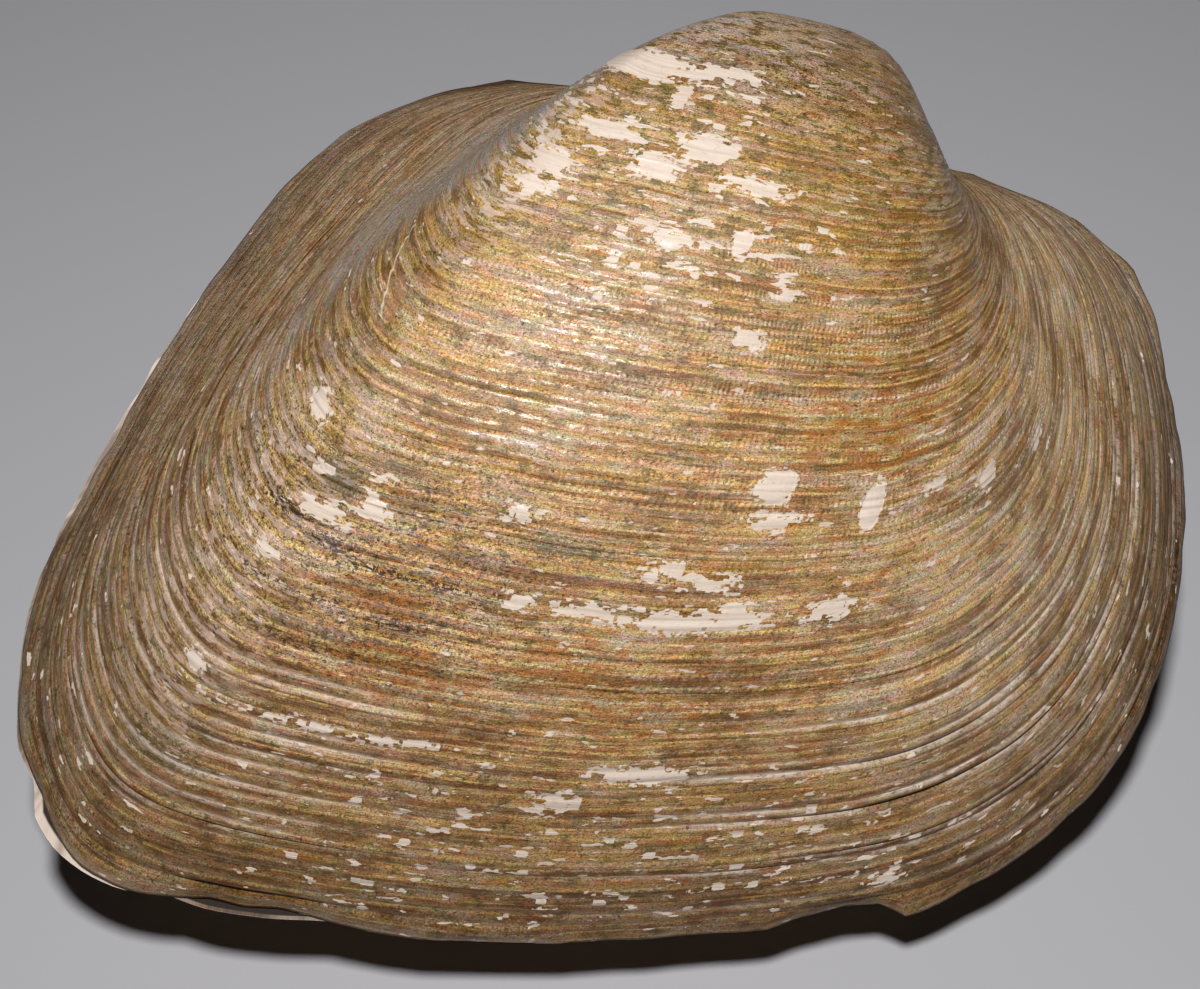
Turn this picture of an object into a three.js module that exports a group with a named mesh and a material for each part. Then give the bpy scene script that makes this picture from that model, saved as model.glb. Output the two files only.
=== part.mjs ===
// A closed fossil clam. Two thick valves meet face to face, and the shell lies at rest on the left one.
// Millimetres. In the shell's own frame +X is its front, +Y its hinge side, and the valves part at Z = 0,
// with the right valve above.
import * as THREE from 'three';

// ---- the margin: a valve's edge in the joint plane, from the front of the hinge round to its back
const MARGIN = [
  [28, 3.8], // front end of the hinge
  [41.3, -0.1],
  [49.6, -9.2], // rounded front shoulder
  [54.6, -25.1],
  [55.5, -43.3], // foremost point
  [49.6, -60.8],
  [36.6, -73.9],
  [10.5, -83.4],
  [-19, -88.2], // lowest point of the belly edge
  [-47, -86.6],
  [-55, -77.5], // lower back corner, where the back ridge ends
  [-57.6, -65.8],
  [-55, -45.8], // long sloping back edge
  [-49, -25.6],
  [-41.4, -8.6],
  [-32, 0.2],
  [-23, 4.3], // back end of the hinge
];
const MARGIN_STEPS = 52;
const HINGE_STEPS = 8;

// ---- growth: every earlier edge is a smaller copy of the margin, swung up and back about the pole
const POLE = new THREE.Vector3(15, 5.1, 0.9);
const SWING_AXIS = new THREE.Vector3(1, 0, 0.098).normalize(); // leans out in front: the beak turns forward
const SHRINK = 0.97; // how fast the edge shrinks per radian that it is swung back
const YOUTH_SPAN = 0.7; // radians over which the shell took its present proportions
const SHORTER_FRONT = 0.31; // a young shell was this much shorter in front
const LONGER_BACK = 0.09; // and this much longer behind

// ---- growth ledges: where growth paused, the older edge overhangs the younger shell a little
const LEDGE_COUNT = 13;
const LEDGE_FIRST_SIZE = 0.985;
const LEDGE_RATIO = 0.955;
const LEDGE_WIDTH = 0.007;
const LEDGE_FLARE = 0.6;
const LEDGE_FADE = 0.18; // share of the margin at each end of the hinge over which the ledges die out

// ---- beak: smooth rows from the last ledge to the tip
const BEAK_RATIO = 0.82;
const BEAK_ROWS = 10;

// ---- how the two valves sit together, and how the closed shell lies
const VALVE_GAP = 0.3;
const LEFT_VALVE_SIZE = 1.004; // the left valve is a little larger, and has slipped back
const LEFT_VALVE_SHIFT = new THREE.Vector3(-1.1, 0.1, 0);
const REST_PITCH = THREE.MathUtils.degToRad(20.5); // hinge side up, belly edge down
const REST_ROLL = THREE.MathUtils.degToRad(3.6);
const REST_YAW = THREE.MathUtils.degToRad(-10.4);
const REST_WEAR = 0.6; // the left valve's fullest spot is worn flat by this much where it rests

// The margin as evenly spaced points, each with the direction that points out of the shell in its plane.
function marginEdges() {
  const points = MARGIN.map(([x, y]) => new THREE.Vector3(x, y, 0));
  const curve = new THREE.CatmullRomCurve3(points, false, 'centripetal');
  const edges = [];
  for (let step = 0; step <= MARGIN_STEPS; step += 1) {
    const along = step / MARGIN_STEPS;
    const tangent = curve.getTangentAt(along);
    const fromHinge = Math.min(along, 1 - along) / LEDGE_FADE;
    edges.push({
      point: curve.getPointAt(along),
      outward: new THREE.Vector3(tangent.y, -tangent.x, 0).negate(),
      ledge: THREE.MathUtils.smoothstep(fromHinge, 0, 1),
    });
  }
  return edges;
}

// Where a point of the margin lay when the shell had the given share of its present size.
function grown(point, size) {
  const swing = -Math.log(size) / SHRINK;
  const youth = 1 - Math.exp(-swing / YOUTH_SPAN);
  const change = point.x > 0 ? -SHORTER_FRONT : LONGER_BACK;
  return new THREE.Vector3(point.x * (1 + change * youth), point.y, 0)
    .sub(POLE)
    .applyAxisAngle(SWING_AXIS, -swing)
    .multiplyScalar(size)
    .add(POLE);
}

// The growth rows of a valve, from the present margin to the tip of the beak.
function growthRows() {
  const rows = [{ size: 1, flare: 0 }];
  let size = LEDGE_FIRST_SIZE;
  for (let ledge = 0; ledge < LEDGE_COUNT; ledge += 1) {
    rows.push({ size: size + LEDGE_WIDTH / 2, flare: 0 });
    rows.push({ size: size - LEDGE_WIDTH / 2, flare: LEDGE_FLARE });
    size *= LEDGE_RATIO;
  }
  for (let row = 0; row < BEAK_ROWS; row += 1) {
    rows.push({ size, flare: 0 });
    size *= BEAK_RATIO;
  }
  return rows;
}

// One closed loop for each row: round the margin from front to back, then straight home along the hinge.
function rowLoop(edges, row) {
  const loop = edges.map(({ point, outward, ledge }) => {
    const flared = point.clone().addScaledVector(outward, row.flare * ledge);
    return grown(flared, row.size);
  });
  const front = loop[0];
  const back = loop[loop.length - 1];
  for (let step = 1; step < HINGE_STEPS; step += 1) {
    loop.push(back.clone().lerp(front, step / HINGE_STEPS));
  }
  return loop;
}

// A closed solid through loops of equal length, capped by a fan at each end.
function loftGeometry(loops) {
  const count = loops[0].length;
  const corners = loops.flat();
  const faces = [];
  for (let row = 0; row + 1 < loops.length; row += 1) {
    for (let step = 0; step < count; step += 1) {
      const next = (step + 1) % count;
      const [a, b] = [row * count + step, row * count + next];
      const [c, d] = [a + count, b + count];
      faces.push(a, c, d, a, d, b);
    }
  }
  const caps = [
    { start: 0, turned: false },
    { start: (loops.length - 1) * count, turned: true },
  ];
  for (const { start, turned } of caps) {
    const ring = corners.slice(start, start + count);
    const middle = ring.reduce((sum, corner) => sum.add(corner), new THREE.Vector3()).divideScalar(count);
    const hub = corners.push(middle) - 1;
    for (let step = 0; step < count; step += 1) {
      const [a, b] = [start + step, start + ((step + 1) % count)];
      faces.push(hub, turned ? b : a, turned ? a : b);
    }
  }
  const geometry = new THREE.BufferGeometry().setFromPoints(corners);
  geometry.setIndex(faces);
  return geometry;
}

// The same solid seen in a mirror at the joint plane.
function mirrored(geometry) {
  const copy = geometry.clone().scale(1, 1, -1);
  const index = copy.getIndex();
  for (let face = 0; face < index.count; face += 3) {
    const second = index.getX(face + 1);
    index.setX(face + 1, index.getX(face + 2));
    index.setX(face + 2, second);
  }
  return copy;
}

// Presses every corner below the given height up to it.
function wearFlat(geometry, height) {
  const corners = geometry.getAttribute('position');
  for (let corner = 0; corner < corners.count; corner += 1) {
    corners.setZ(corner, Math.max(corners.getZ(corner), height));
  }
}

function valve(name, geometry, color) {
  geometry.computeVertexNormals();
  const material = new THREE.MeshStandardMaterial({ color, roughness: 0.75, metalness: 0 });
  const mesh = new THREE.Mesh(geometry, material);
  mesh.name = name;
  return mesh;
}

const edges = marginEdges();
const rightGeometry = loftGeometry(growthRows().map((row) => rowLoop(edges, row)));
const leftGeometry = mirrored(rightGeometry).scale(LEFT_VALVE_SIZE, LEFT_VALVE_SIZE, LEFT_VALVE_SIZE);
rightGeometry.translate(0, 0, VALVE_GAP / 2);
leftGeometry.translate(LEFT_VALVE_SHIFT.x, LEFT_VALVE_SHIFT.y, -VALVE_GAP / 2);

// The closed shell is turned to the way it lies, worn flat where it rests, and set down on Z = 0
// with its box centred on the origin.
const lying = new THREE.Matrix4().makeRotationFromEuler(new THREE.Euler(REST_PITCH, REST_ROLL, REST_YAW));
const box = new THREE.Box3();
for (const geometry of [rightGeometry, leftGeometry]) {
  geometry.applyMatrix4(lying).computeBoundingBox();
  box.union(geometry.boundingBox);
}
const ground = box.min.z + REST_WEAR;
wearFlat(leftGeometry, ground);

const group = new THREE.Group();
group.add(valve('right_valve', rightGeometry, '#a98a5c'), valve('left_valve', leftGeometry, '#93795a'));
const middle = box.getCenter(new THREE.Vector3());
group.position.set(-middle.x, -middle.y, -ground);

export default group;
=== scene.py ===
"""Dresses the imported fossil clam: two finely grown valves take the place of the plain solids, and lie on
a pale table in soft light."""

import math
from types import SimpleNamespace

import bpy
import numpy as np
from mathutils import Euler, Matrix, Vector


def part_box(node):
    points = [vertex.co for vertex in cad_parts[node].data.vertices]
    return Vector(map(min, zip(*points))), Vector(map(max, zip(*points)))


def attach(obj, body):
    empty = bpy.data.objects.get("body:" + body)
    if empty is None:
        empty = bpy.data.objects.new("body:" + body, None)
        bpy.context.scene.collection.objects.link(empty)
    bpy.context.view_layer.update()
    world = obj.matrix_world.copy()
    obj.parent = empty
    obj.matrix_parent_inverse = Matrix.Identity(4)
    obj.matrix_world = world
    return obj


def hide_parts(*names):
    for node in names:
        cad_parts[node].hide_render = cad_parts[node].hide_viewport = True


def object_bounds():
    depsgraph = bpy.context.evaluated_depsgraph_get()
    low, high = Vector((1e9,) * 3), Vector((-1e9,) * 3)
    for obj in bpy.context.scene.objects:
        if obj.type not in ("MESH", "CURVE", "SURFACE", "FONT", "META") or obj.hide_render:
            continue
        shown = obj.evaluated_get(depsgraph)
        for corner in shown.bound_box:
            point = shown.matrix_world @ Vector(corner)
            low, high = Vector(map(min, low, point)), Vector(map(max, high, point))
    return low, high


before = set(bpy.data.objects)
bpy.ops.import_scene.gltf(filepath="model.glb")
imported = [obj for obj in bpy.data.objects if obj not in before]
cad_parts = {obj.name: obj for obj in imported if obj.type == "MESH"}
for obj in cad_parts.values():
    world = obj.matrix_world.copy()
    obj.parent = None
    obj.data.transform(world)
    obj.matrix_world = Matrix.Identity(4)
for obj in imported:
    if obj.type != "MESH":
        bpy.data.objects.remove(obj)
CAD_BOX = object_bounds()
MM = 0.001

# ---- the shell's shape, in millimetres in its own frame: +X front, +Y hinge side, the valves part at Z = 0
MARGIN = [
    (28, 3.8), (41.3, -0.1), (49.6, -9.2), (54.6, -25.1), (55.5, -43.3), (49.6, -60.8),
    (36.6, -73.9), (10.5, -83.4), (-19, -88.2), (-47, -86.6), (-55, -77.5), (-57.6, -65.8),
    (-55, -45.8), (-49, -25.6), (-41.4, -8.6), (-32, 0.2), (-23, 4.3),
]
CURVE_STEPS = 40  # points of the curve between two points of MARGIN
POLE = np.array([15.0, 5.1, 0.9])
SWING_AXIS = np.array([1.0, 0.0, 0.098]) / math.hypot(1.0, 0.098)
SHRINK = 0.97  # how fast the edge shrinks per radian that it is swung back
YOUTH_SPAN = 0.7  # radians over which the shell took its present proportions
SHORTER_FRONT = 0.31  # a young shell was this much shorter in front
LONGER_BACK = 0.09  # and this much longer behind
BEAK_SIZE = 0.077  # the tip of the beak, as a share of the margin
GROWTH_LENGTH = 134.0  # millimetres of growth from the pole to the belly edge

VALVE_GAP = 0.3
LEFT_VALVE_SIZE = 1.004
LEFT_VALVE_SHIFT = (-1.1, 0.1)
REST = np.array(Euler([math.radians(angle) for angle in (20.5, 3.6, -10.4)], "ZYX").to_matrix())

# ---- the mesh: growth rows from the margin to the beak, columns round the margin and along the hinge
COLUMNS = 256
HINGE_COLUMNS = 8
BEAK_STEP = 1.6
UV_UNIT = 0.01  # of the layer "growth", to a millimetre
CAP_INSET = (0.5, 1.2)  # width of the joint face's outer ring: all round, and at the lower back corner

# ---- growth lines, in millimetres of growth from the pole
SMOOTH_UNTIL = 44  # the beak is worn smooth up to here
LINE_PITCH = 1.05
LINE_PITCH_SPREAD = 0.28
LINE_PITCH_LIMITS = (0.6, 1.7)
LINE_HEIGHT = 0.2
LINE_PROFILE = ((1, 1.0), (0.72, 0.66), (0.4, 0.22), (0, 0.0))  # share of a line's width, and of its height
GROOVE_WIDTH = 0.3
LEDGES = [132.0, 126.0, 120.4, 115.0, 109.8, 104.8, 100.1, 95.6, 91.3, 87.2, 83.3, 79.5, 75.9]
LEDGE_HEIGHT = 0.75
MINOR_LEDGE = 0.6  # the line before a ledge is this much of one
SUNKEN = 0.25  # the relief is set this deep into the smooth shell
FLAKE_DEPTH = 0.12
RIBLETS = 270  # faint ribs across the growth lines, all the way round the margin

# ---- how far the worn edge stands out of the margin (+) or is chipped back (-), in millimetres, each after
# its share of the way round the margin from the front of the hinge to its back
RIGHT_EDGE = [
    (0, 0), (0.03, -0.4), (0.05, -0.1), (0.07, 0.8), (0.09, 0.2), (0.115, -0.6), (0.15, 0.3), (0.18, -0.2),
    (0.24, 0), (0.3, 0), (0.33, 0.2), (0.35, 0.8), (0.357, 0.8), (0.361, -0.9), (0.375, -1.4), (0.392, -1),
    (0.402, -0.2), (0.43, -0.1), (0.47, 0), (0.485, 0.7), (0.5, 0.8), (0.515, 0.3), (0.545, -0.2),
    (0.565, -0.8), (0.59, -0.5), (0.605, 0.2), (0.62, 0.9), (0.64, 0.8), (0.66, 0.3), (0.68, 0.9),
    (0.7, 0.9), (0.74, 1.3), (0.79, 0.6), (0.84, 0.9), (0.93, 0.7), (0.97, 0.3), (1, 0),
]
LEFT_EDGE = [
    (0, 0), (0.3, -0.6), (0.36, -1.6), (0.4, -1.2), (0.45, -0.8), (0.53, -0.8), (0.55, -0.5), (0.565, 0),
    (0.585, 0.1), (0.6, -0.3), (0.615, 0.5), (0.64, 0.7), (0.652, 0.5), (0.663, -0.8), (0.675, -0.1),
    (0.7, -0.1), (0.74, 0.3), (0.78, 0), (0.85, -0.3), (0.91, -0.6), (0.95, -1.4), (0.985, -0.9), (1, 0),
]
CHIP_REACH = 3.2  # chips and bulges of the edge die out over this much growth
HINGE_FADE = 0.05  # share of the margin at each end of the hinge over which all relief dies out

# ---- patches on the right valve: share of the way round, growth, half length and half height
FLAKES = [  # the larger flakes of chalk
    (0.65, 43, 7.5, 2.1), (0.557, 42.3, 3.8, 1.1), (0.610, 52, 2.8, 1.3), (0.578, 46.5, 0.9, 1.8),
    (0.630, 57, 1.9, 1.6), (0.628, 60, 2.2, 1.0), (0.562, 55, 2.2, 1.4), (0.532, 52, 2.8, 1.7),
    (0.487, 55, 3.5, 1.1), (0.525, 62, 1.7, 1.1), (0.482, 61, 0.9, 1.5), (0.437, 65.5, 1.0, 0.8),
    (0.457, 70.5, 1.3, 1.0), (0.420, 84.7, 1.9, 1.7), (0.415, 88, 2.2, 0.9), (0.360, 86.8, 1.1, 2.6),
    (0.540, 89.6, 1.7, 0.7), (0.467, 93.3, 2.0, 0.9), (0.443, 94, 2.2, 0.8), (0.382, 97, 2.0, 1.2),
    (0.525, 97.3, 1.3, 0.8), (0.498, 97.5, 2.8, 0.7), (0.452, 97.7, 7.2, 1.0), (0.430, 97, 2.1, 1.3),
    (0.280, 89, 1.4, 1.1), (0.318, 86.5, 1.0, 0.8), (0.227, 92.5, 1.5, 1.0), (0.652, 86.7, 1.4, 1.3),
    (0.62, 93.9, 2.2, 0.7), (0.602, 92, 1.6, 1.0), (0.633, 99, 1.0, 0.8), (0.633, 111, 1.0, 1.0),
    (0.572, 112.8, 7.0, 0.4), (0.457, 114, 4.2, 1.0), (0.487, 117.4, 1.8, 1.0), (0.36, 129.6, 1.8, 0.8),
]
FLAKY = [  # where small flakes are dense
    (0.6, 52, 12, 9), (0.66, 52, 5, 12), (0.54, 44, 10, 6), (0.5, 62, 14, 8), (0.62, 92, 6, 5),
]
CRUSTS = [
    (0.634, 95.2, 2.6, 0.7), (0.61, 96.2, 2.6, 0.6), (0.585, 97.4, 3.4, 0.4), (0.56, 97.6, 2.0, 0.4),
    (0.62, 101.2, 4.4, 0.2), (0.57, 101.8, 2.4, 0.4), (0.6, 105.6, 3.6, 0.2),
]
MOULDS = [(0.622, 90.2, 2.3, 1.5), (0.512, 92, 3.5, 0.9), (0.6, 88, 3, 0.7), (0.63, 120, 4, 1.5)]
CRUMBLY = [(0.6, 97, 24, 15), (0.5, 40, 20, 8)]
RUSTS = [
    (0.575, 99.6, 5, 1.6), (0.56, 106, 7, 2.4), (0.5, 102.5, 6, 2.0), (0.47, 108, 6, 1.5),
    (0.4, 113, 3.5, 0.8), (0.36, 80, 7, 4), (0.65, 76, 1.5, 1),
]
PATCH_SQUARENESS = 2.6  # 2 would make the patches ellipses, and more makes them boxes
FAR_OUTSIDE = -2.0

# ---- a long scratch on the back flank: its two ends as share of the way round and growth
SCRATCH = ((0.698, 71), (0.655, 77.6))
SCRATCH_HALF_WIDTH = (0.0008, 0.0014)  # share of the way round: full up to the first, gone at the second

# ---- how much lighter (+) or darker (-) parts of the shell are, and where, as stops of a ramp over the
# share of the way round and over the growth; the darkening behind the ridge is painted shade
TONE_ZONES = [
    (-0.25, None, (106, 118)),  # the belly
    (-0.22, None, (122, 133)),  # the margin
    (-0.08, (0.6, 0.7), (60, 90)),  # the back slope
    (-0.03, (0.24, 0.1), None),  # the front slope
    (-0.08, None, (80, 60)),  # the umbo
    (-0.1, None, (52, 42)),  # the beak
    # painted shade in the hollow behind the back ridge
    (-0.14, (0.625, 0.645, 0.71, 0.74), (64, 72, 82, 90)),  # behind the ridge
    (-0.22, (0.1, 0.14, 0.2, 0.26), (116, 126)),  # the lower front
    (0.08, (0.1, 0.15, 0.28, 0.36), (96, 84)),  # the front flank
]
# painted shade on the left valve's edge, under the edge of the right valve
UNDER_RIM_SHADE = 0.3  # the left valve's edge is this much darker, except at the lower back corner
GREEN_SHADE_POWER, BLUE_SHADE_POWER = 1.12, 1.4  # so that a darker ground is also a warmer one

# ---- what the material is told about each point of a valve, up to three values to an attribute
VALUE_GROUPS = {
    "relief": ("height", "beads", "flake"),
    "lines": ("crest", "groove", "tone"),
    "shades": ("red_shade", "green_shade", "blue_shade"),
    "ground": ("slope", "veil", "ruddy"),
    "faded": ("hollow", "bleached", "sponge"),
    "chalky": ("worn", "scatter", "rim"),
    "dirt": ("crust", "mould", "gap"),
    "grime": ("rust", "crumbly"),
}


def ramp(value, start, full, fading=None, end=None):
    """Smoothly from 0 at start to 1 at full and, with four stops, back to 0 from fading to end."""
    share = np.clip((value - start) / (full - start), 0, 1)
    rise = share * share * (3 - 2 * share)
    return rise if end is None else rise * ramp(value, end, fading)


def noise(u, v, seed):
    """Smooth noise between -1 and 1, the same on every run."""
    table = np.random.default_rng(seed).uniform(-1, 1, (256, 256))
    column, row = np.floor(u).astype(int), np.floor(v).astype(int)
    across, up = u - column, v - row
    across, up = across * across * (3 - 2 * across), up * up * (3 - 2 * up)
    a, b = table[column % 256, row % 256], table[(column + 1) % 256, row % 256]
    c, d = table[column % 256, (row + 1) % 256], table[(column + 1) % 256, (row + 1) % 256]
    return (a * (1 - across) + b * across) * (1 - up) + (c * (1 - across) + d * across) * up


def running_length(points):
    """How far each point of a line lies along it."""
    return np.concatenate([[0], np.cumsum(np.linalg.norm(np.diff(points, axis=0), axis=1))])


def margin_curve(count):
    """Evenly spaced points on a centripetal curve through MARGIN, and the directions that point outwards."""
    knots = np.array(MARGIN, float)
    knots = np.vstack([2 * knots[0] - knots[1], knots, 2 * knots[-1] - knots[-2]])
    times = np.concatenate([[0], np.cumsum(np.linalg.norm(np.diff(knots, axis=0), axis=1) ** 0.5)])
    fine = []
    for i in range(1, len(knots) - 2):
        t0, t1, t2, t3 = times[i - 1:i + 3]
        t = np.linspace(t1, t2, CURVE_STEPS, endpoint=i == len(knots) - 3)[:, None]
        p0, p1, p2, p3 = knots[i - 1:i + 3]
        a1 = (t1 - t) / (t1 - t0) * p0 + (t - t0) / (t1 - t0) * p1
        a2 = (t2 - t) / (t2 - t1) * p1 + (t - t1) / (t2 - t1) * p2
        a3 = (t3 - t) / (t3 - t2) * p2 + (t - t2) / (t3 - t2) * p3
        b1 = (t2 - t) / (t2 - t0) * a1 + (t - t0) / (t2 - t0) * a2
        b2 = (t3 - t) / (t3 - t1) * a2 + (t - t1) / (t3 - t1) * a3
        fine.append((t2 - t) / (t2 - t1) * b1 + (t - t1) / (t2 - t1) * b2)
    fine = np.vstack(fine)
    length = running_length(fine)
    at = np.linspace(0, length[-1], count)
    points = np.stack([np.interp(at, length, fine[:, k]) for k in (0, 1)], 1)
    tangent = np.gradient(points, axis=0)
    tangent /= np.linalg.norm(tangent, axis=1)[:, None]
    return points, np.stack([-tangent[:, 1], tangent[:, 0]], 1)


def grown(points, size):
    """Where points of the margin lay when the shell had the given share of its present size."""
    swing = -np.log(size) / SHRINK
    youth = 1 - np.exp(-swing / YOUTH_SPAN)
    change = np.where(points[..., 0] > 0, -SHORTER_FRONT, LONGER_BACK)
    arm = np.stack([points[..., 0] * (1 + change * youth), points[..., 1], np.zeros_like(size)], -1) - POLE
    cosine, sine = np.cos(swing)[..., None], np.sin(-swing)[..., None]
    along = (arm @ SWING_AXIS)[..., None] * SWING_AXIS
    turned = arm * cosine + np.cross(SWING_AXIS, arm) * sine + along * (1 - cosine)
    return POLE + size[..., None] * turned


def growth_rows(seed):
    """The rows of a valve from the margin to the beak, as four columns: growth, height on the row's growth
    line from 0 to 1, the line's number, and how much of a ledge the line is."""
    rng = np.random.default_rng(seed)
    lines = [SMOOTH_UNTIL]
    while lines[-1] < GROWTH_LENGTH - 1:
        lines.append(lines[-1] + np.clip(rng.normal(LINE_PITCH, LINE_PITCH_SPREAD), *LINE_PITCH_LIMITS))
    lines[-1] = GROWTH_LENGTH
    lines = np.array(lines)
    ledges = np.zeros(len(lines))
    for ledge in LEDGES:
        nearest = int(np.abs(lines - ledge).argmin())
        lines[nearest] = ledge
        ledges[nearest], ledges[nearest - 1] = 1, MINOR_LEDGE
    rows = []
    for number in range(len(lines) - 1, 0, -1):
        low, high = lines[number - 1] + GROOVE_WIDTH, lines[number]
        for share, height in LINE_PROFILE:
            rows.append((low + share * (high - low), height, number, ledges[number]))
    tip = BEAK_SIZE * GROWTH_LENGTH
    beak = np.arange(SMOOTH_UNTIL - BEAK_STEP, tip, -BEAK_STEP)
    rows += [(growth, 0.0, 0, 0.0) for growth in (*beak, tip)]
    rows[0] = (GROWTH_LENGTH, 0.0, rows[0][2], 0.0)  # the margin, and before it the joint face's inner ring
    rows.insert(0, rows[0])
    return [np.array(column, float)[:, None] for column in zip(*rows)]


def smooth_valve(seed, edge):
    """A valve's surface without relief: a grid of growth rows by steps round the margin."""
    growth, height, line, ledge = growth_rows(seed)
    points, outward = margin_curve(COLUMNS + 1)
    shape = (len(growth), COLUMNS + 1)
    along = np.broadcast_to(np.linspace(0, 1, COLUMNS + 1), shape)
    growth, height = np.broadcast_to(growth, shape), np.broadcast_to(height, shape)
    inside = ramp(np.minimum(along, 1 - along), 0, HINGE_FADE)
    corner = ramp(along, 0.6, 0.63, 0.92, 0.98)

    # growth lines waver a little, and the last few millimetres follow the chipped edge
    waver = 0.5 * noise(along * 6, growth / 25, seed + 1) + 0.14 * noise(along * 34, growth / 7, seed + 2)
    waver = waver * inside * ramp(growth, GROWTH_LENGTH, GROWTH_LENGTH - 3)
    size = (growth + waver) / GROWTH_LENGTH
    chips = np.interp(along, *zip(*edge)) + 0.16 * noise(along * 90, along * 0, seed + 3)
    chips = chips * inside * ramp(growth, GROWTH_LENGTH - CHIP_REACH, GROWTH_LENGTH)
    chips[0] -= CAP_INSET[0] + (CAP_INSET[1] - CAP_INSET[0]) * corner[0]
    base = grown(points + outward * chips[..., None], size)

    # how far each point lies along its row from the middle column, and which way is out of the shell there
    steps = np.linalg.norm(np.diff(base, axis=1), axis=2)
    reach = np.concatenate([np.zeros((shape[0], 1)), np.cumsum(steps, 1)], 1)
    reach -= reach[:, COLUMNS // 2][:, None]
    normal = np.cross(np.gradient(base, axis=1), np.gradient(base, axis=0))
    normal[:2] = 0
    normal /= np.linalg.norm(normal, axis=2)[..., None] + 1e-9
    return SimpleNamespace(
        seed=seed, along=along, growth=growth, height=height, line=line, ledge=ledge, size=size, base=base,
        normal=normal, reach=reach, inside=inside, corner=corner,
    )


def patch_field(valve, patches):
    """Millimetres inside (+) or outside (-) the nearest patch."""
    field = np.full(valve.reach.shape, FAR_OUTSIDE)
    for share, at, half_length, half_height in patches:
        row = int(np.abs(valve.growth[:, 0] - at).argmin())
        middle = np.interp(share, valve.along[row], valve.reach[row])
        distance = np.abs((valve.reach - middle) / half_length) ** PATCH_SQUARENESS
        distance = distance + np.abs((valve.growth - at) / half_height) ** PATCH_SQUARENESS
        field = np.maximum(field, (1 - distance ** (1 / PATCH_SQUARENESS)) * half_height)
    return field


def add_zones(valve):
    """Where the parts of the shell are, as shares from 0 to 1."""
    along, growth = valve.along, valve.growth
    valve.back = ramp(along, 0.6, 0.7)
    valve.front = ramp(along, 0.24, 0.1)
    valve.calm = ramp(along, 0.3, 0.4, 0.6, 0.69) * ramp(growth, 94, 82)
    valve.sharp = ramp(along, 0.52, 0.6) * ramp(growth, 90, 106)
    valve.lower_front = ramp(along, 0.04, 0.2, 0.3, 0.5) * ramp(growth, 100, 118)
    valve.lower_back = ramp(along, 0.52, 0.6, 0.68, 0.76) * ramp(growth, 98, 112)


def add_relief(valve, flakes):
    """Fine lines that come and go, ledges that are strongest at the lower front, dents, sunken flakes."""
    along, growth, line, seed = valve.along, valve.growth, valve.line, valve.seed
    fine = LINE_HEIGHT * (1 - 0.35 * valve.calm + 0.5 * valve.sharp)
    fine = fine * (0.6 + 0.5 * noise(along * 15, line * 7.3, seed + 4))
    strong = 0.3 + 0.7 * valve.lower_front + 0.4 * valve.lower_back
    strong = valve.ledge * LEDGE_HEIGHT * strong * (0.75 + 0.6 * noise(along * 14, line * 3.1, seed + 5))
    valve.crest = np.maximum(strong, fine)
    broad_dents = 0.22 * noise(along * 9, growth / 14, seed + 6)
    small_dents = 0.08 * noise(along * 40, growth / 4, seed + 7)
    relief = valve.height * valve.crest - SUNKEN
    relief += broad_dents + small_dents
    relief -= FLAKE_DEPTH * ramp(flakes, -0.1, 0.25)
    relief *= valve.inside * ramp(growth, GROWTH_LENGTH, GROWTH_LENGTH - 1)
    valve.skin = valve.base + valve.normal * relief[..., None]


def shade_of(valve, mirrored):
    """How light the ground is, from 0 up to about 1, with painted shade behind the ridge and on the left
    valve's edge.
    """
    shade = 1
    for change, around, grown_by in TONE_ZONES:
        share = change
        if around:
            share = share * ramp(valve.along, *around)
        if grown_by:
            share = share * ramp(valve.growth, *grown_by)
        shade = shade + share
    # painted shade on the left valve's edge, under the right valve's edge
    if mirrored:
        shade = shade - UNDER_RIM_SHADE * ramp(valve.growth, 130, 133) * (1 - valve.corner)
    return np.maximum(shade, 0)


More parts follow.
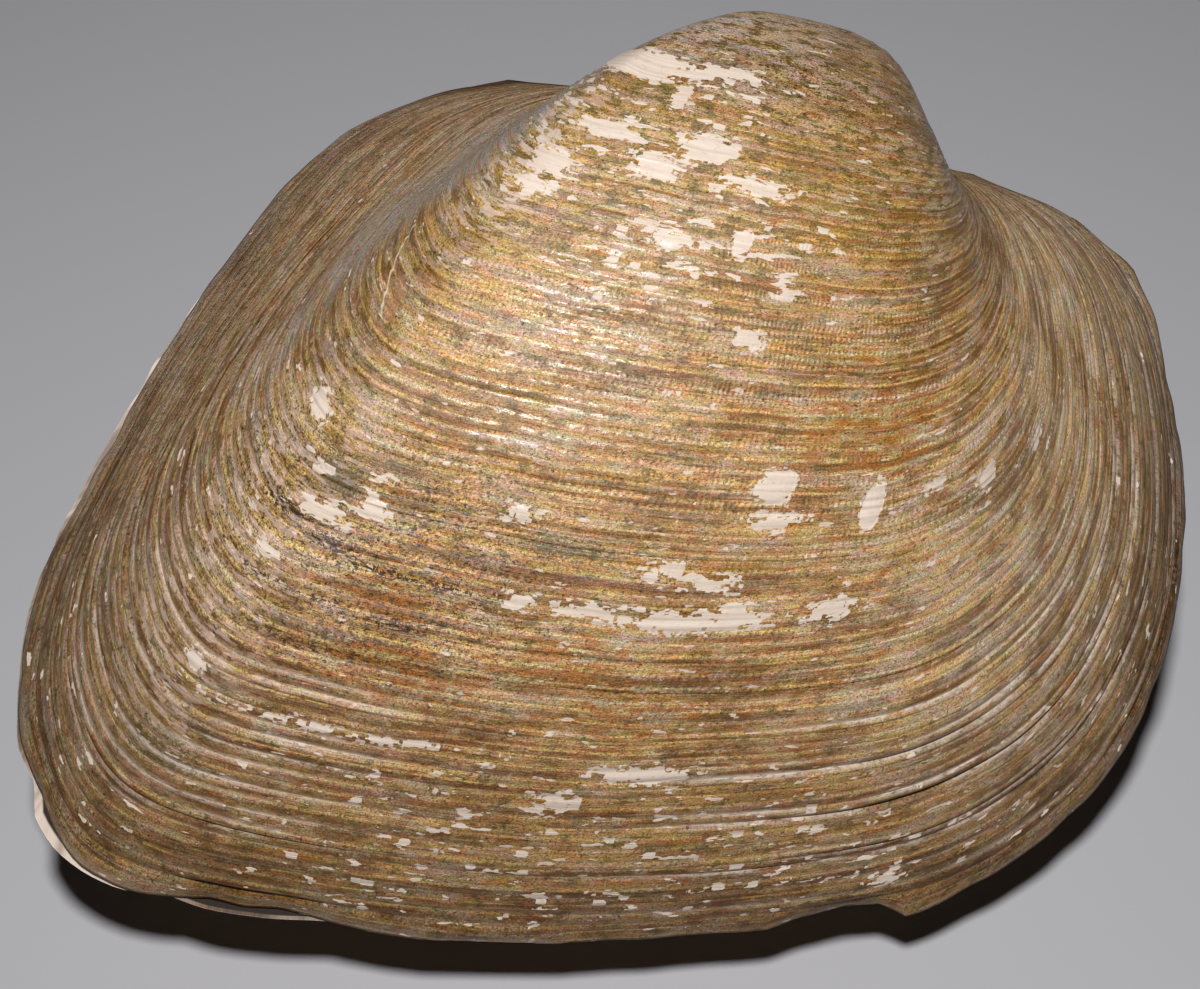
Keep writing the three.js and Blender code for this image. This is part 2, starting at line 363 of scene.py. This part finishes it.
def surface_values(valve, flakes, mirrored):
    """What the material is told about each point of a valve."""
    along, growth, height, line, seed = valve.along, valve.growth, valve.height, valve.line, valve.seed
    back, front, crest = valve.back, valve.front, valve.crest
    kinds = (FLAKY, CRUSTS, MOULDS, RUSTS, CRUMBLY)
    flaky, crusts, moulds, rusts, crumbly = (patch_field(valve, [] if mirrored else kind) for kind in kinds)

    # the dull slopes at both ends of the shell, and the bleached part of the front
    front_low = 0.6 * ramp(along, 0.38, 0.28) * ramp(growth, 80, 92)
    far_back = np.maximum(ramp(growth, 68, 88), ramp(along, 0.72, 0.8))
    bleached = 0.8 * ramp(along, 0.17, 0.22, 0.3, 0.42) * ramp(growth, 78, 90, 114, 126)
    bleached += ramp(along, 0.06, 0.1, 0.17, 0.22) * ramp(growth, 66, 85, 100, 112)

    # small flakes along the belly, pale crests on the ledges that are partly wear and partly painted
    # highlight,
    # # and pale wear on the back ridge
    scatter = 0.75 * ramp(growth, 112, 119, 129, 133)
    scatter = scatter * ramp(along, 0.62, 0.54) * (0.3 + 0.7 * ramp(along, 0.3, 0.38))
    scatter = np.maximum(scatter, ramp(flaky, -1, 5)) - 0.7 * np.maximum(front, ramp(along, 0.7, 0.78))
    low_crests = ramp(along, 0.06, 0.2, 0.4, 0.5) * ramp(growth, 100, 112)
    low_crests = np.maximum(low_crests, 0.7 * valve.lower_back) * ramp(growth, 132, 129)
    ridge = ramp(along, 0.6, 0.635, 0.66, 0.69) * ramp(growth, 126, 112)
    ridge *= 0.15 + 0.85 * ramp(growth, 72, 60) + 0.4 * ramp(growth, 78, 88)
    rim_wear = np.maximum(valve.corner, 0.3 * ramp(along, 0.4, 0.5, 0.6, 0.63))
    rim_wear = rim_wear * (1 - 0.8 * ramp(along, 0.655, 0.675, 0.74, 0.76))

    # beads and livelier lines in the middle, and the grey hollow behind the back ridge
    ridge_line = 0.65 + 0.045 * ramp(growth, 58, 72)
    beads = ramp(growth, 52, 64, 104, 120) * (1 - np.maximum(back, front))
    lively = 1 - 0.6 * valve.calm + 0.4 * ramp(growth, 96, 108)
    shade = shade_of(valve, mirrored)
    tone = noise(along * 4, line * 7.31, seed + 8) + 0.5 * noise(along * 17, line * 5.17, seed + 9)
    hollow = ramp(along, ridge_line, ridge_line + 0.04) * ramp(along, 0.95, 0.87)
    # the joint face's inner ring, which is given painted shade in the joint between the valves
    gap = np.zeros(along.shape)
    gap[0] = 1
    return {
        "height": height,
        # pale crests on the ledges: partly wear, partly painted highlight
        "crest": ramp(height, 0.2, 0.75) * ramp(crest, 0.1, 0.4) * low_crests,
        # the dark foot of each line, under the line before it: partly dirt, partly painted shade
        "groove": np.interp(height, (0, 0.22, 0.66), (1, 0.45, 0)) * ramp(crest, 0.02, 0.2),
        "tone": tone * lively,
        "beads": beads * ramp(0.15 + noise(along * 9, line * 9.7, seed + 10), 0, 0.4),
        "red_shade": shade,
        "green_shade": shade ** GREEN_SHADE_POWER,
        "blue_shade": shade ** BLUE_SHADE_POWER,
        "slope": np.maximum(back * far_back, np.maximum(front, front_low)),
        "hollow": hollow * ramp(growth, 100, 76),
        "bleached": bleached,
        "ruddy": ramp(along, 0.33, 0.4, 0.66, 0.7) * ramp(growth, 78, 90, 118, 128),
        "veil": ramp(growth, 50, 36) * (0.4 + 0.6 * ramp(along, 0.42, 0.55)),
        "sponge": ramp(growth, 74, 48),
        "worn": ridge * ramp(growth, 45, 55),
        "flake": flakes,
        "scatter": scatter,
        "crust": crusts,
        "mould": moulds,
        "rust": rusts,
        "crumbly": ramp(crumbly, -1, 8),
        "rim": ramp(growth, GROWTH_LENGTH - 1.6, GROWTH_LENGTH - 0.4) * rim_wear,
        "gap": gap,
    }


def closed_up(skin):
    """Corners and faces of a solid: the skin, a straight strip along the hinge, and a fan at each end. Also
    says which faces are to be shaded smooth."""
    hinge = np.linspace(0, 1, HINGE_COLUMNS + 1)[1:-1]
    strip = skin[:, -1:, :] * (1 - hinge)[None, :, None] + skin[:, :1, :] * hinge[None, :, None]
    loops = np.concatenate([skin, strip], 1)
    rows, count = loops.shape[:2]
    row, column = np.meshgrid(np.arange(rows - 1), np.arange(count), indexing="ij")
    first = row * count + column
    second = row * count + (column + 1) % count
    quads = np.stack([first, first + count, second + count, second], -1).reshape(-1, 4)
    ring = np.arange(count)
    after = (ring + 1) % count
    last = (rows - 1) * count
    margin_hub, tip_hub = rows * count, rows * count + 1
    margin_cap = np.stack([np.full(count, margin_hub), ring, after], 1)
    tip_cap = np.stack([np.full(count, tip_hub), last + after, last + ring], 1)
    corners = np.vstack([loops.reshape(-1, 3), loops[0].mean(0), loops[-1].mean(0)])
    faces = quads.tolist() + margin_cap.tolist() + tip_cap.tolist()
    place = np.arange(len(faces))
    return corners, faces, (place >= count) & (place < len(quads))


def spread(values):
    """A grid's values at all corners of the closed solid, with 0 along the hinge."""
    strip = np.zeros((len(values), HINGE_COLUMNS - 1))
    return np.concatenate([np.concatenate([values, strip], 1).ravel(), [values[0, 0], 0.0]])


def make_valve(name, seed, edge, mirrored):
    """A valve as it lies, in metres. The mirrored one is the left valve, which has no patches of its own."""
    valve = smooth_valve(seed, edge)
    flakes = patch_field(valve, [] if mirrored else FLAKES)
    add_zones(valve)
    add_relief(valve, flakes)
    corners, faces, smooth = closed_up(valve.skin)
    if mirrored:
        corners = corners * (1, 1, -1) * LEFT_VALVE_SIZE + (*LEFT_VALVE_SHIFT, -VALVE_GAP / 2)
        faces = [face[::-1] for face in faces]
    else:
        corners = corners + (0, 0, VALVE_GAP / 2)

    mesh = bpy.data.meshes.new(name)
    mesh.from_pydata((corners @ REST.T * MM).tolist(), [], faces)
    mesh.polygons.foreach_set("use_smooth", smooth)
    vertex_of_loop = np.empty(len(mesh.loops), int)
    mesh.loops.foreach_get("vertex_index", vertex_of_loop)
    layers = {"growth": (valve.reach * UV_UNIT, valve.growth * UV_UNIT), "ribs": (valve.along, valve.size)}
    for layer, (across, up) in layers.items():
        uv = np.stack([spread(across), spread(up)], 1)
        mesh.uv_layers.new(name=layer).data.foreach_set("uv", uv[vertex_of_loop].ravel())
    values = surface_values(valve, flakes, mirrored)
    for group, names in VALUE_GROUPS.items():
        vectors = np.zeros((len(corners), 3))
        for axis, key in enumerate(names):
            vectors[:, axis] = spread(values[key])
        mesh.attributes.new(group, "FLOAT_VECTOR", "POINT").data.foreach_set("vector", vectors.ravel())
    obj = bpy.data.objects.new(name, mesh)
    bpy.context.scene.collection.objects.link(obj)
    return obj


# ---- colours
TAN = (0.64, 0.39, 0.135)
GOLD = (0.52, 0.275, 0.045)
PINK_BROWN = (0.45, 0.22, 0.10)
PALE_GOLD = (0.82, 0.57, 0.25)
PALE_SAND = (0.80, 0.61, 0.36)
PALE_GREY = (0.62, 0.50, 0.35)
PINK_GREY = (0.60, 0.42, 0.26)
HOLLOW_GREY = (0.45, 0.37, 0.295)
SLOPE_BROWN = (0.50, 0.38, 0.21)
LINE_BROWN = (0.14, 0.048, 0.010)
OLIVE_BROWN = (0.15, 0.10, 0.035)
OLIVE_GOLD = (0.36, 0.235, 0.07)
VEIL = (0.80, 0.64, 0.50)
CHALK = (0.76, 0.63, 0.53)
OLD_CHALK = (0.66, 0.53, 0.42)
RUST = (0.37, 0.155, 0.02)
MOULD = (0.09, 0.078, 0.03)
CRUST = (0.055, 0.022, 0.010)
# near black: dark pits, and painted shade in the joint between the valves
DARK = (0.03, 0.02, 0.016)
TABLE = (0.44, 0.435, 0.455, 1)

# ---- tints that the ground is multiplied by
WARM, COOL = (1.05, 0.95, 0.74), (0.96, 1.02, 1.25)
ROSY, MOSSY = (1.07, 0.95, 1.08), (0.94, 1.03, 0.92)

# ---- noise, from broad to fine: features to a millimetre along the growth lines and across them, seed,
# detail and roughness
NOISES = {
    "drift": (0.03, 0.07, 1, 1, 0.55),
    "patches": (0.1, 0.24, 31, 3, 0.7),
    "bands": (0.012, 0.42, 5, 3, 0.65),
    "breaks": (0.1, 0.5, 33, 2, 0.75),
    "tint": (0.15, 0.75, 61, 3, 0.6),
    "wander": (0.5, 0.9, 53, 0, 0.55),
    "stains": (0.45, 0.8, 13, 4, 0.75),
    "spots": (0.32, 1.1, 45, 2, 0.6),
    "blush": (0.35, 1.4, 67, 3, 0.65),
    "streaks": (0.07, 2.2, 9, 4, 0.75),
    "crumbs": (1.4, 2.4, 69, 4, 0.84),
    "pits": (2.4, 3.4, 25, 2, 0.75),
    "flecks": (1.1, 3.8, 11, 4, 0.8),
    "grain": (4.5, 5.5, 17, 2, 0.8),
}
CELLS = {"blocks": (0.9, 1.6, 37), "chips": (2.3, 3.4, 39)}  # cells to a millimetre each way, and their seed

# ---- fine relief and gloss
STREAK_RELIEF = 0.1
RIBLET_RELIEF = 0.03
GRAIN_RELIEF = 0.05
GLAZE_RELIEF = 0.02
GLAZE_ROUGHNESS = 0.15
TABLE_ROUGHNESS = 0.7


class Shader:
    """A material's node tree with short ways to add nodes."""

    def __init__(self, name):
        self.material = bpy.data.materials.new(name)
        self.material.use_nodes = True
        self.tree = self.material.node_tree
        self.tree.nodes.clear()

    def put(self, kind, inputs, **settings):
        node = self.tree.nodes.new("ShaderNode" + kind)
        for key, value in settings.items():
            setattr(node, key, value)
        for key, value in inputs.items():
            if isinstance(value, bpy.types.NodeSocket):
                self.tree.links.new(value, node.inputs[key])
            else:
                node.inputs[key].default_value = value
        return node

    def finish(self, inputs):
        surface = self.put("BsdfPrincipled", inputs)
        self.put("OutputMaterial", {"Surface": surface.outputs[0]})
        return self.material

    def math(self, operation, a, b=0.0, c=0.0):
        return self.put("Math", {0: a, 1: b, 2: c}, operation=operation).outputs[0]

    def total(self, first, *others):
        for other in others:
            first = self.math("ADD", first, other)
        return first

    def product(self, first, *others):
        for other in others:
            first = self.math("MULTIPLY", first, other)
        return first

    def span(self, value, low, high, to_low=0.0, to_high=1.0):
        inputs = {"Value": value, "From Min": low, "From Max": high, "To Min": to_low, "To Max": to_high}
        return self.put("MapRange", inputs, interpolation_type="SMOOTHSTEP").outputs[0]

    def scaled(self, value, factor, shift=0.0):
        inputs = {"Value": value, "From Min": 0, "From Max": 1, "To Min": shift, "To Max": shift + factor}
        return self.put("MapRange", inputs, clamp=False).outputs[0]

    def split(self, vector):
        return self.put("SeparateXYZ", {0: vector}).outputs

    def mix(self, factor, a, b, blend="MIX"):
        a = (*a, 1) if isinstance(a, tuple) else a
        b = (*b, 1) if isinstance(b, tuple) else b
        return self.put("Mix", {0: factor, 6: a, 7: b}, data_type="RGBA", blend_type=blend).outputs[2]

    def tinted(self, color, tint):
        return self.mix(1.0, color, tint, "MULTIPLY")

    def painted(self, color, value, start, full, most, paint, where=None):
        """The colour under a paint that begins where the value passes start and is thickest from full on."""
        thickest = most if where is None else self.scaled(where, most)
        return self.mix(self.span(value, start, full, 0, thickest), color, paint)

    def bump(self, height):
        """The normal of a relief with its height in millimetres."""
        return self.put("Bump", {"Strength": 1.0, "Distance": MM, "Height": height}).outputs[0]


class ShellShader(Shader):
    """A valve's material. The shift gives the valve patterns of its own."""

    def __init__(self, name, shift):
        super().__init__(name)
        self.shift = shift
        self.growth = self.put("UVMap", {}, uv_map="growth").outputs[0]

    def place(self, along, up, seed):
        """Coordinates with so many units to a millimetre along the growth lines and across them."""
        shift = self.shift + seed
        inputs = {0: self.growth, 1: (along / UV_UNIT, up / UV_UNIT, 0), 2: (shift, shift * 1.7, 0)}
        return self.put("VectorMath", inputs, operation="MULTIPLY_ADD").outputs[0]

    def noise(self, along, up, seed, detail, roughness):
        place = self.place(along, up, seed)
        inputs = {"Vector": place, "Scale": 1.0, "Detail": detail, "Roughness": roughness}
        return self.put("TexNoise", inputs, noise_dimensions="2D").outputs[0]

    def cells(self, along, up, seed):
        """A random value for each cell of a crooked grid."""
        inputs = {"Vector": self.place(along, up, seed), "Scale": 1.0, "Randomness": 0.6}
        node = self.put("TexVoronoi", inputs, voronoi_dimensions="2D", distance="CHEBYCHEV")
        return self.put("SeparateColor", {0: node.outputs["Color"]}).outputs[0]


def shell_look(sh):
    """The values of a valve's points, the noise laid over them, and what follows from both, by name."""
    look = SimpleNamespace()
    for group, names in VALUE_GROUPS.items():
        vector = sh.put("Attribute", {}, attribute_name=group).outputs["Vector"]
        vars(look).update(zip((group, *names), (vector, *sh.split(vector))))
    for name, (along, up, seed, detail, roughness) in NOISES.items():
        setattr(look, name, sh.noise(along, up, seed, detail, roughness))
    for name, (along, up, seed) in CELLS.items():
        setattr(look, name, sh.cells(along, up, seed))
    look.around = sh.split(sh.put("UVMap", {}, uv_map="ribs").outputs[0])[0]
    turns = sh.math("MULTIPLY_ADD", look.around, 2 * math.pi * RIBLETS, sh.scaled(look.wander, 2 * math.pi))
    look.riblets = sh.product(sh.math("SINE", turns), look.beads, sh.scaled(look.height, 0.8, 0.2))
    look.crown = sh.math("MULTIPLY_ADD", look.riblets, 0.4, look.height)
    look.veiled = sh.scaled(look.veil, 0.9)
    look.bare = sh.scaled(look.veil, -0.9, 1)
    look.joint_face = sh.span(look.gap, 0.0, 0.1)
    look.crusty = sh.total(look.crumbs, sh.span(look.crust, -0.5, 0.4, 0, -0.2))
    return look


def ground_color(sh, look):
    """Bands of colour that follow the growth lines, each line with its own tone, a paler crest whose beads
    are partly painted glint, and a dark foot that is partly dirt and partly painted shade.
    """
    color = sh.painted(TAN, look.drift, 0.4, 0.6, 1, GOLD)
    color = sh.painted(color, look.bands, 0.47, 0.6, 0.85, PINK_BROWN)
    color = sh.mix(sh.scaled(look.slope, 0.7), color, SLOPE_BROWN)
    color = sh.mix(look.veiled, color, VEIL)
    pale = sh.mix(look.slope, PALE_GOLD, PALE_GREY)
    # the crown's pale: the lines' own paler crests, and beads on them that are partly painted glint
    for value, start, full, most, paint in (
        (look.crown, 0.35, 1.0, 0.75, pale),
        (look.tone, -0.1, -0.8, 0.5, LINE_BROWN), (look.tone, 0.15, 0.9, 0.5, pale),
        (look.streaks, 0.48, 0.3, 0.8, LINE_BROWN), (look.streaks, 0.55, 0.7, 0.75, pale),
        (look.flecks, 0.47, 0.33, 0.6, OLIVE_BROWN), (look.flecks, 0.54, 0.68, 0.5, PALE_SAND),
    ):
        color = sh.painted(color, value, start, full, most, paint, look.bare)
    # the dark foot of each growth line, under the line before it: partly dirt, partly painted shade
    grooved = sh.product(look.groove, look.bare, sh.span(look.tint, 0.4, 0.6, 0.45, 0.95))
    return sh.mix(grooved, color, LINE_BROWN)


def stained(sh, look, color):
    """Stains and patches, olive mottles on the beak, the grey hollow of the back, bleaching, and rust."""
    for value, start, full, most, paint, where in (
        (look.stains, 0.54, 0.64, 0.7, OLIVE_BROWN, None), (look.stains, 0.45, 0.34, 0.6, PINK_GREY, None),
        (look.patches, 0.52, 0.64, 0.45, PINK_GREY, None), (look.patches, 0.47, 0.36, 0.4, LINE_BROWN, None),
        (look.stains, 0.49, 0.55, 0.75, OLIVE_GOLD, look.sponge),
        (look.stains, 0.55, 0.61, 0.7, OLIVE_BROWN, look.sponge),
    ):
        color = sh.painted(color, value, start, full, most, paint, where)
    hollow = sh.product(look.hollow, sh.span(look.streaks, 0.3, 0.6, 0.45, 0.95))
    color = sh.mix(hollow, color, HOLLOW_GREY)
    bleached = sh.product(look.bleached, sh.span(look.patches, 0.4, 0.62, 0.1, 0.5))
    color = sh.mix(bleached, color, PALE_SAND)
    rusty = sh.total(look.blush, sh.span(look.rust, -1.2, 0.8, 0, 0.17), sh.scaled(look.ruddy, 0.015))
    return sh.painted(color, rusty, 0.64, 0.7, 0.7, RUST)


def grained(sh, look, color):
    """Grain and crumbs, and tints that drift from cool to warm and from mossy to rosy."""
    crumbled = sh.span(look.crumbs, 0.38, 0.62, -0.45, 0.4)
    lightness = sh.math("MULTIPLY_ADD", look.crumbly, crumbled, sh.span(look.grain, 0.34, 0.66, 0.62, 1.31))
    color = sh.put("VectorMath", {0: color, "Scale": lightness}, operation="SCALE").outputs[0]
    warmth = sh.math("MULTIPLY_ADD", look.ruddy, 0.05, look.tint)
    color = sh.tinted(color, sh.painted(COOL, warmth, 0.41, 0.59, 1, WARM))
    return sh.tinted(color, sh.painted(MOSSY, look.blush, 0.41, 0.59, 1, ROSY))


def speckled(sh, look, color):
    """Green mould, black crusts and dark pits."""
    mouldy = sh.total(look.crumbs, sh.span(look.mould, -1.2, 0.8, 0, 0.16))
    color = sh.painted(color, mouldy, 0.6, 0.66, 0.8, MOULD)
    color = sh.painted(color, look.crusty, 0.37, 0.35, 0.95, CRUST)
    pitted = sh.total(look.pits, sh.scaled(look.stains, 0.1), sh.scaled(look.crumbly, 0.05))
    return sh.painted(color, pitted, 0.715, 0.75, 0.9, DARK)


def shaded(sh, look, color):
    """Darker towards the margin, partly by painted shade; pale crests on the belly's ledges, partly wear and
    partly painted highlight; pale wear along the back ridge.
    """
    color = sh.tinted(color, look.shades)
    broken = sh.product(sh.span(look.breaks, 0.42, 0.52, 0.05, 1), sh.span(look.flecks, 0.38, 0.5, 0.25, 1))
    # pale crests on the ledges: partly wear, partly painted highlight
    crests = sh.product(look.crest, broken)
    rubbed = sh.product(look.worn, sh.span(look.blush, 0.51, 0.58, 0, 0.7))
    return sh.mix(sh.math("MAXIMUM", crests, rubbed), color, CHALK)


def chalk_share(sh, look):
    """The larger flakes of chalk, and a scatter of small spots and of square ones, with blocky edges."""
    ragged = sh.total(sh.scaled(look.blocks, 0.9, -0.45), sh.scaled(look.chips, 0.6, -0.3))
    large = sh.total(look.flake, ragged)
    spots = sh.total(sh.scaled(look.spots, 9, -0.735 * 9), sh.scaled(look.scatter, 0.9), ragged)
    squares = sh.total(sh.scaled(look.blocks, 12, -12), sh.scaled(look.scatter, 0.66))
    squares = sh.total(squares, sh.scaled(look.chips, 0.3, -0.15))
    chalky = sh.math("MAXIMUM", large, sh.math("MAXIMUM", spots, squares))
    return sh.span(chalky, 0.0, 0.06, 0, sh.span(look.flecks, 0.3, 0.45, 0.7, 1))


def scratch_share(sh, look):
    """A straight line between the two ends of the scratch, over its share of the growth."""
    (start_around, start_growth), (end_around, end_growth) = SCRATCH
    length = end_growth - start_growth
    share = sh.scaled(sh.split(sh.growth)[1], 1 / (UV_UNIT * length), -start_growth / length)
    line = sh.scaled(share, end_around - start_around, start_around)
    aside = sh.math("ABSOLUTE", sh.math("SUBTRACT", look.around, line))
    return sh.product(sh.span(aside, *SCRATCH_HALF_WIDTH, 0.8, 0), sh.math("COMPARE", share, 0.5, 0.5))


def shell_material(name, shift, pale_rim):
    """A valve's material, with chalk on its worn edge as thick as pale_rim says."""
    sh = ShellShader(name, shift)
    look = shell_look(sh)
    color = ground_color(sh, look)
    for layer in (stained, grained, speckled, shaded):
        color = layer(sh, look, color)
    chalk = chalk_share(sh, look)
    color = sh.mix(chalk, color, sh.painted(OLD_CHALK, look.streaks, 0.35, 0.6, 1, CHALK))
    color = sh.mix(scratch_share(sh, look), color, CHALK)
    worn_rim = sh.product(look.rim, sh.span(look.patches, 0.42, 0.56, 0.35 * pale_rim, pale_rim))
    color = sh.mix(worn_rim, color, CHALK)
    # painted shade in the joint between the valves, on the joint face's inner ring
    color = sh.painted(color, look.gap, 0.6, 0.8, 1, DARK)

    relief = sh.total(
        sh.scaled(look.streaks, STREAK_RELIEF), sh.scaled(look.riblets, RIBLET_RELIEF),
        sh.scaled(look.grain, GRAIN_RELIEF))
    relief = sh.product(relief, sh.span(look.flake, -0.2, 0.2, 1, 0.2))

    roughness = sh.math("MULTIPLY_ADD", chalk, 0.25, sh.span(look.flecks, 0.3, 0.7, 0.3, 0.5))
    glazed = sh.product(
        sh.span(look.stains, 0.58, 0.45, 0, 0.8), sh.span(look.crown, 0.1, 0.8, 0.2, 1),
        sh.span(look.flecks, 0.42, 0.6, 0.1, 1))
    for value, dull, shiny in ((look.crusty, 0.34, 0.38), (look.rim, 0.5, 0), (look.joint_face, 0.5, 0)):
        glazed = sh.span(value, dull, shiny, 0, glazed)
    return sh.finish({
        "Base Color": color,
        "Roughness": sh.math("MAXIMUM", roughness, look.joint_face),
        "Normal": sh.bump(relief),
        "Coat Weight": glazed,
        "Coat Roughness": GLAZE_ROUGHNESS,
        "Coat Normal": sh.bump(sh.scaled(look.grain, GLAZE_RELIEF)),
    })


# ---- the two valves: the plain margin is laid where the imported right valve's is
right = make_valve("right_valve_shell", seed=11, edge=RIGHT_EDGE, mirrored=False)
left = make_valve("left_valve_shell", seed=61, edge=LEFT_EDGE, mirrored=True)
plain_margin = np.c_[margin_curve(COLUMNS + 1)[0], np.full(COLUMNS + 1, VALVE_GAP / 2)] @ REST.T * MM
offset = np.array(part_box("right_valve")[0]) - plain_margin.min(0)
for obj, node in ((right, "right_valve"), (left, "left_valve")):
    places = np.empty(len(obj.data.vertices) * 3)
    obj.data.vertices.foreach_get("co", places)
    places = places.reshape(-1, 3) + offset
    obj.data.vertices.foreach_set("co", np.clip(places, *CAD_BOX).ravel())
    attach(obj, "root")
    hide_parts(node)
right.data.materials.append(shell_material("right_valve_shell", shift=0.0, pale_rim=0.15))
left.data.materials.append(shell_material("left_valve_shell", shift=200.0, pale_rim=0.9))

# ---- table, light and camera, in metres
TABLE_HALF = 2
KEY_PLACE = (-0.002, -0.1, 0.345)
KEY_AIM = (0, 0, 0.03)
KEY_WIDTH = 0.036
KEY_POWER = 1.19
SKY = (0.85, 0.87, 0.9, 1)
SKY_STRENGTH = 0.008
CAMERA_PLACE = (0.00423, -0.14016, 0.20633)
CAMERA_AIM = (0.00427, -0.00968, 0.0405)
CAMERA_LENS = 65.1
CAMERA_SHIFT = (-0.0499, -0.0305)

floor_mesh = bpy.data.meshes.new("table")
floor_corners = [(x * TABLE_HALF, y * TABLE_HALF, 0) for x, y in ((-1, -1), (1, -1), (1, 1), (-1, 1))]
floor_mesh.from_pydata(floor_corners, [], [(0, 1, 2, 3)])
floor = bpy.data.objects.new("table", floor_mesh)
bpy.context.scene.collection.objects.link(floor)
floor_mesh.materials.append(Shader("table").finish({"Base Color": TABLE, "Roughness": TABLE_ROUGHNESS}))


def add_aimed(name, data, place, aim):
    """A lamp or a camera at a place, looking at its aim."""
    obj = bpy.data.objects.new(name, data)
    obj.location = place
    obj.rotation_mode = "QUATERNION"
    obj.rotation_quaternion = (Vector(aim) - Vector(place)).to_track_quat("-Z", "Y")
    bpy.context.scene.collection.objects.link(obj)
    return obj


key = bpy.data.lights.new("key", "AREA")
key.shape = "DISK"
key.size = KEY_WIDTH
key.energy = KEY_POWER
add_aimed("key", key, KEY_PLACE, KEY_AIM)

world = bpy.data.worlds.new("studio")
world.use_nodes = True
sky = world.node_tree.nodes["Background"].inputs
sky["Color"].default_value = SKY
sky["Strength"].default_value = SKY_STRENGTH
bpy.context.scene.world = world
bpy.context.scene.view_settings.view_transform = "Standard"

camera = bpy.data.cameras.new("camera")
camera.lens = CAMERA_LENS
camera.shift_x, camera.shift_y = CAMERA_SHIFT
bpy.context.scene.camera = add_aimed("camera", camera, CAMERA_PLACE, CAMERA_AIM)
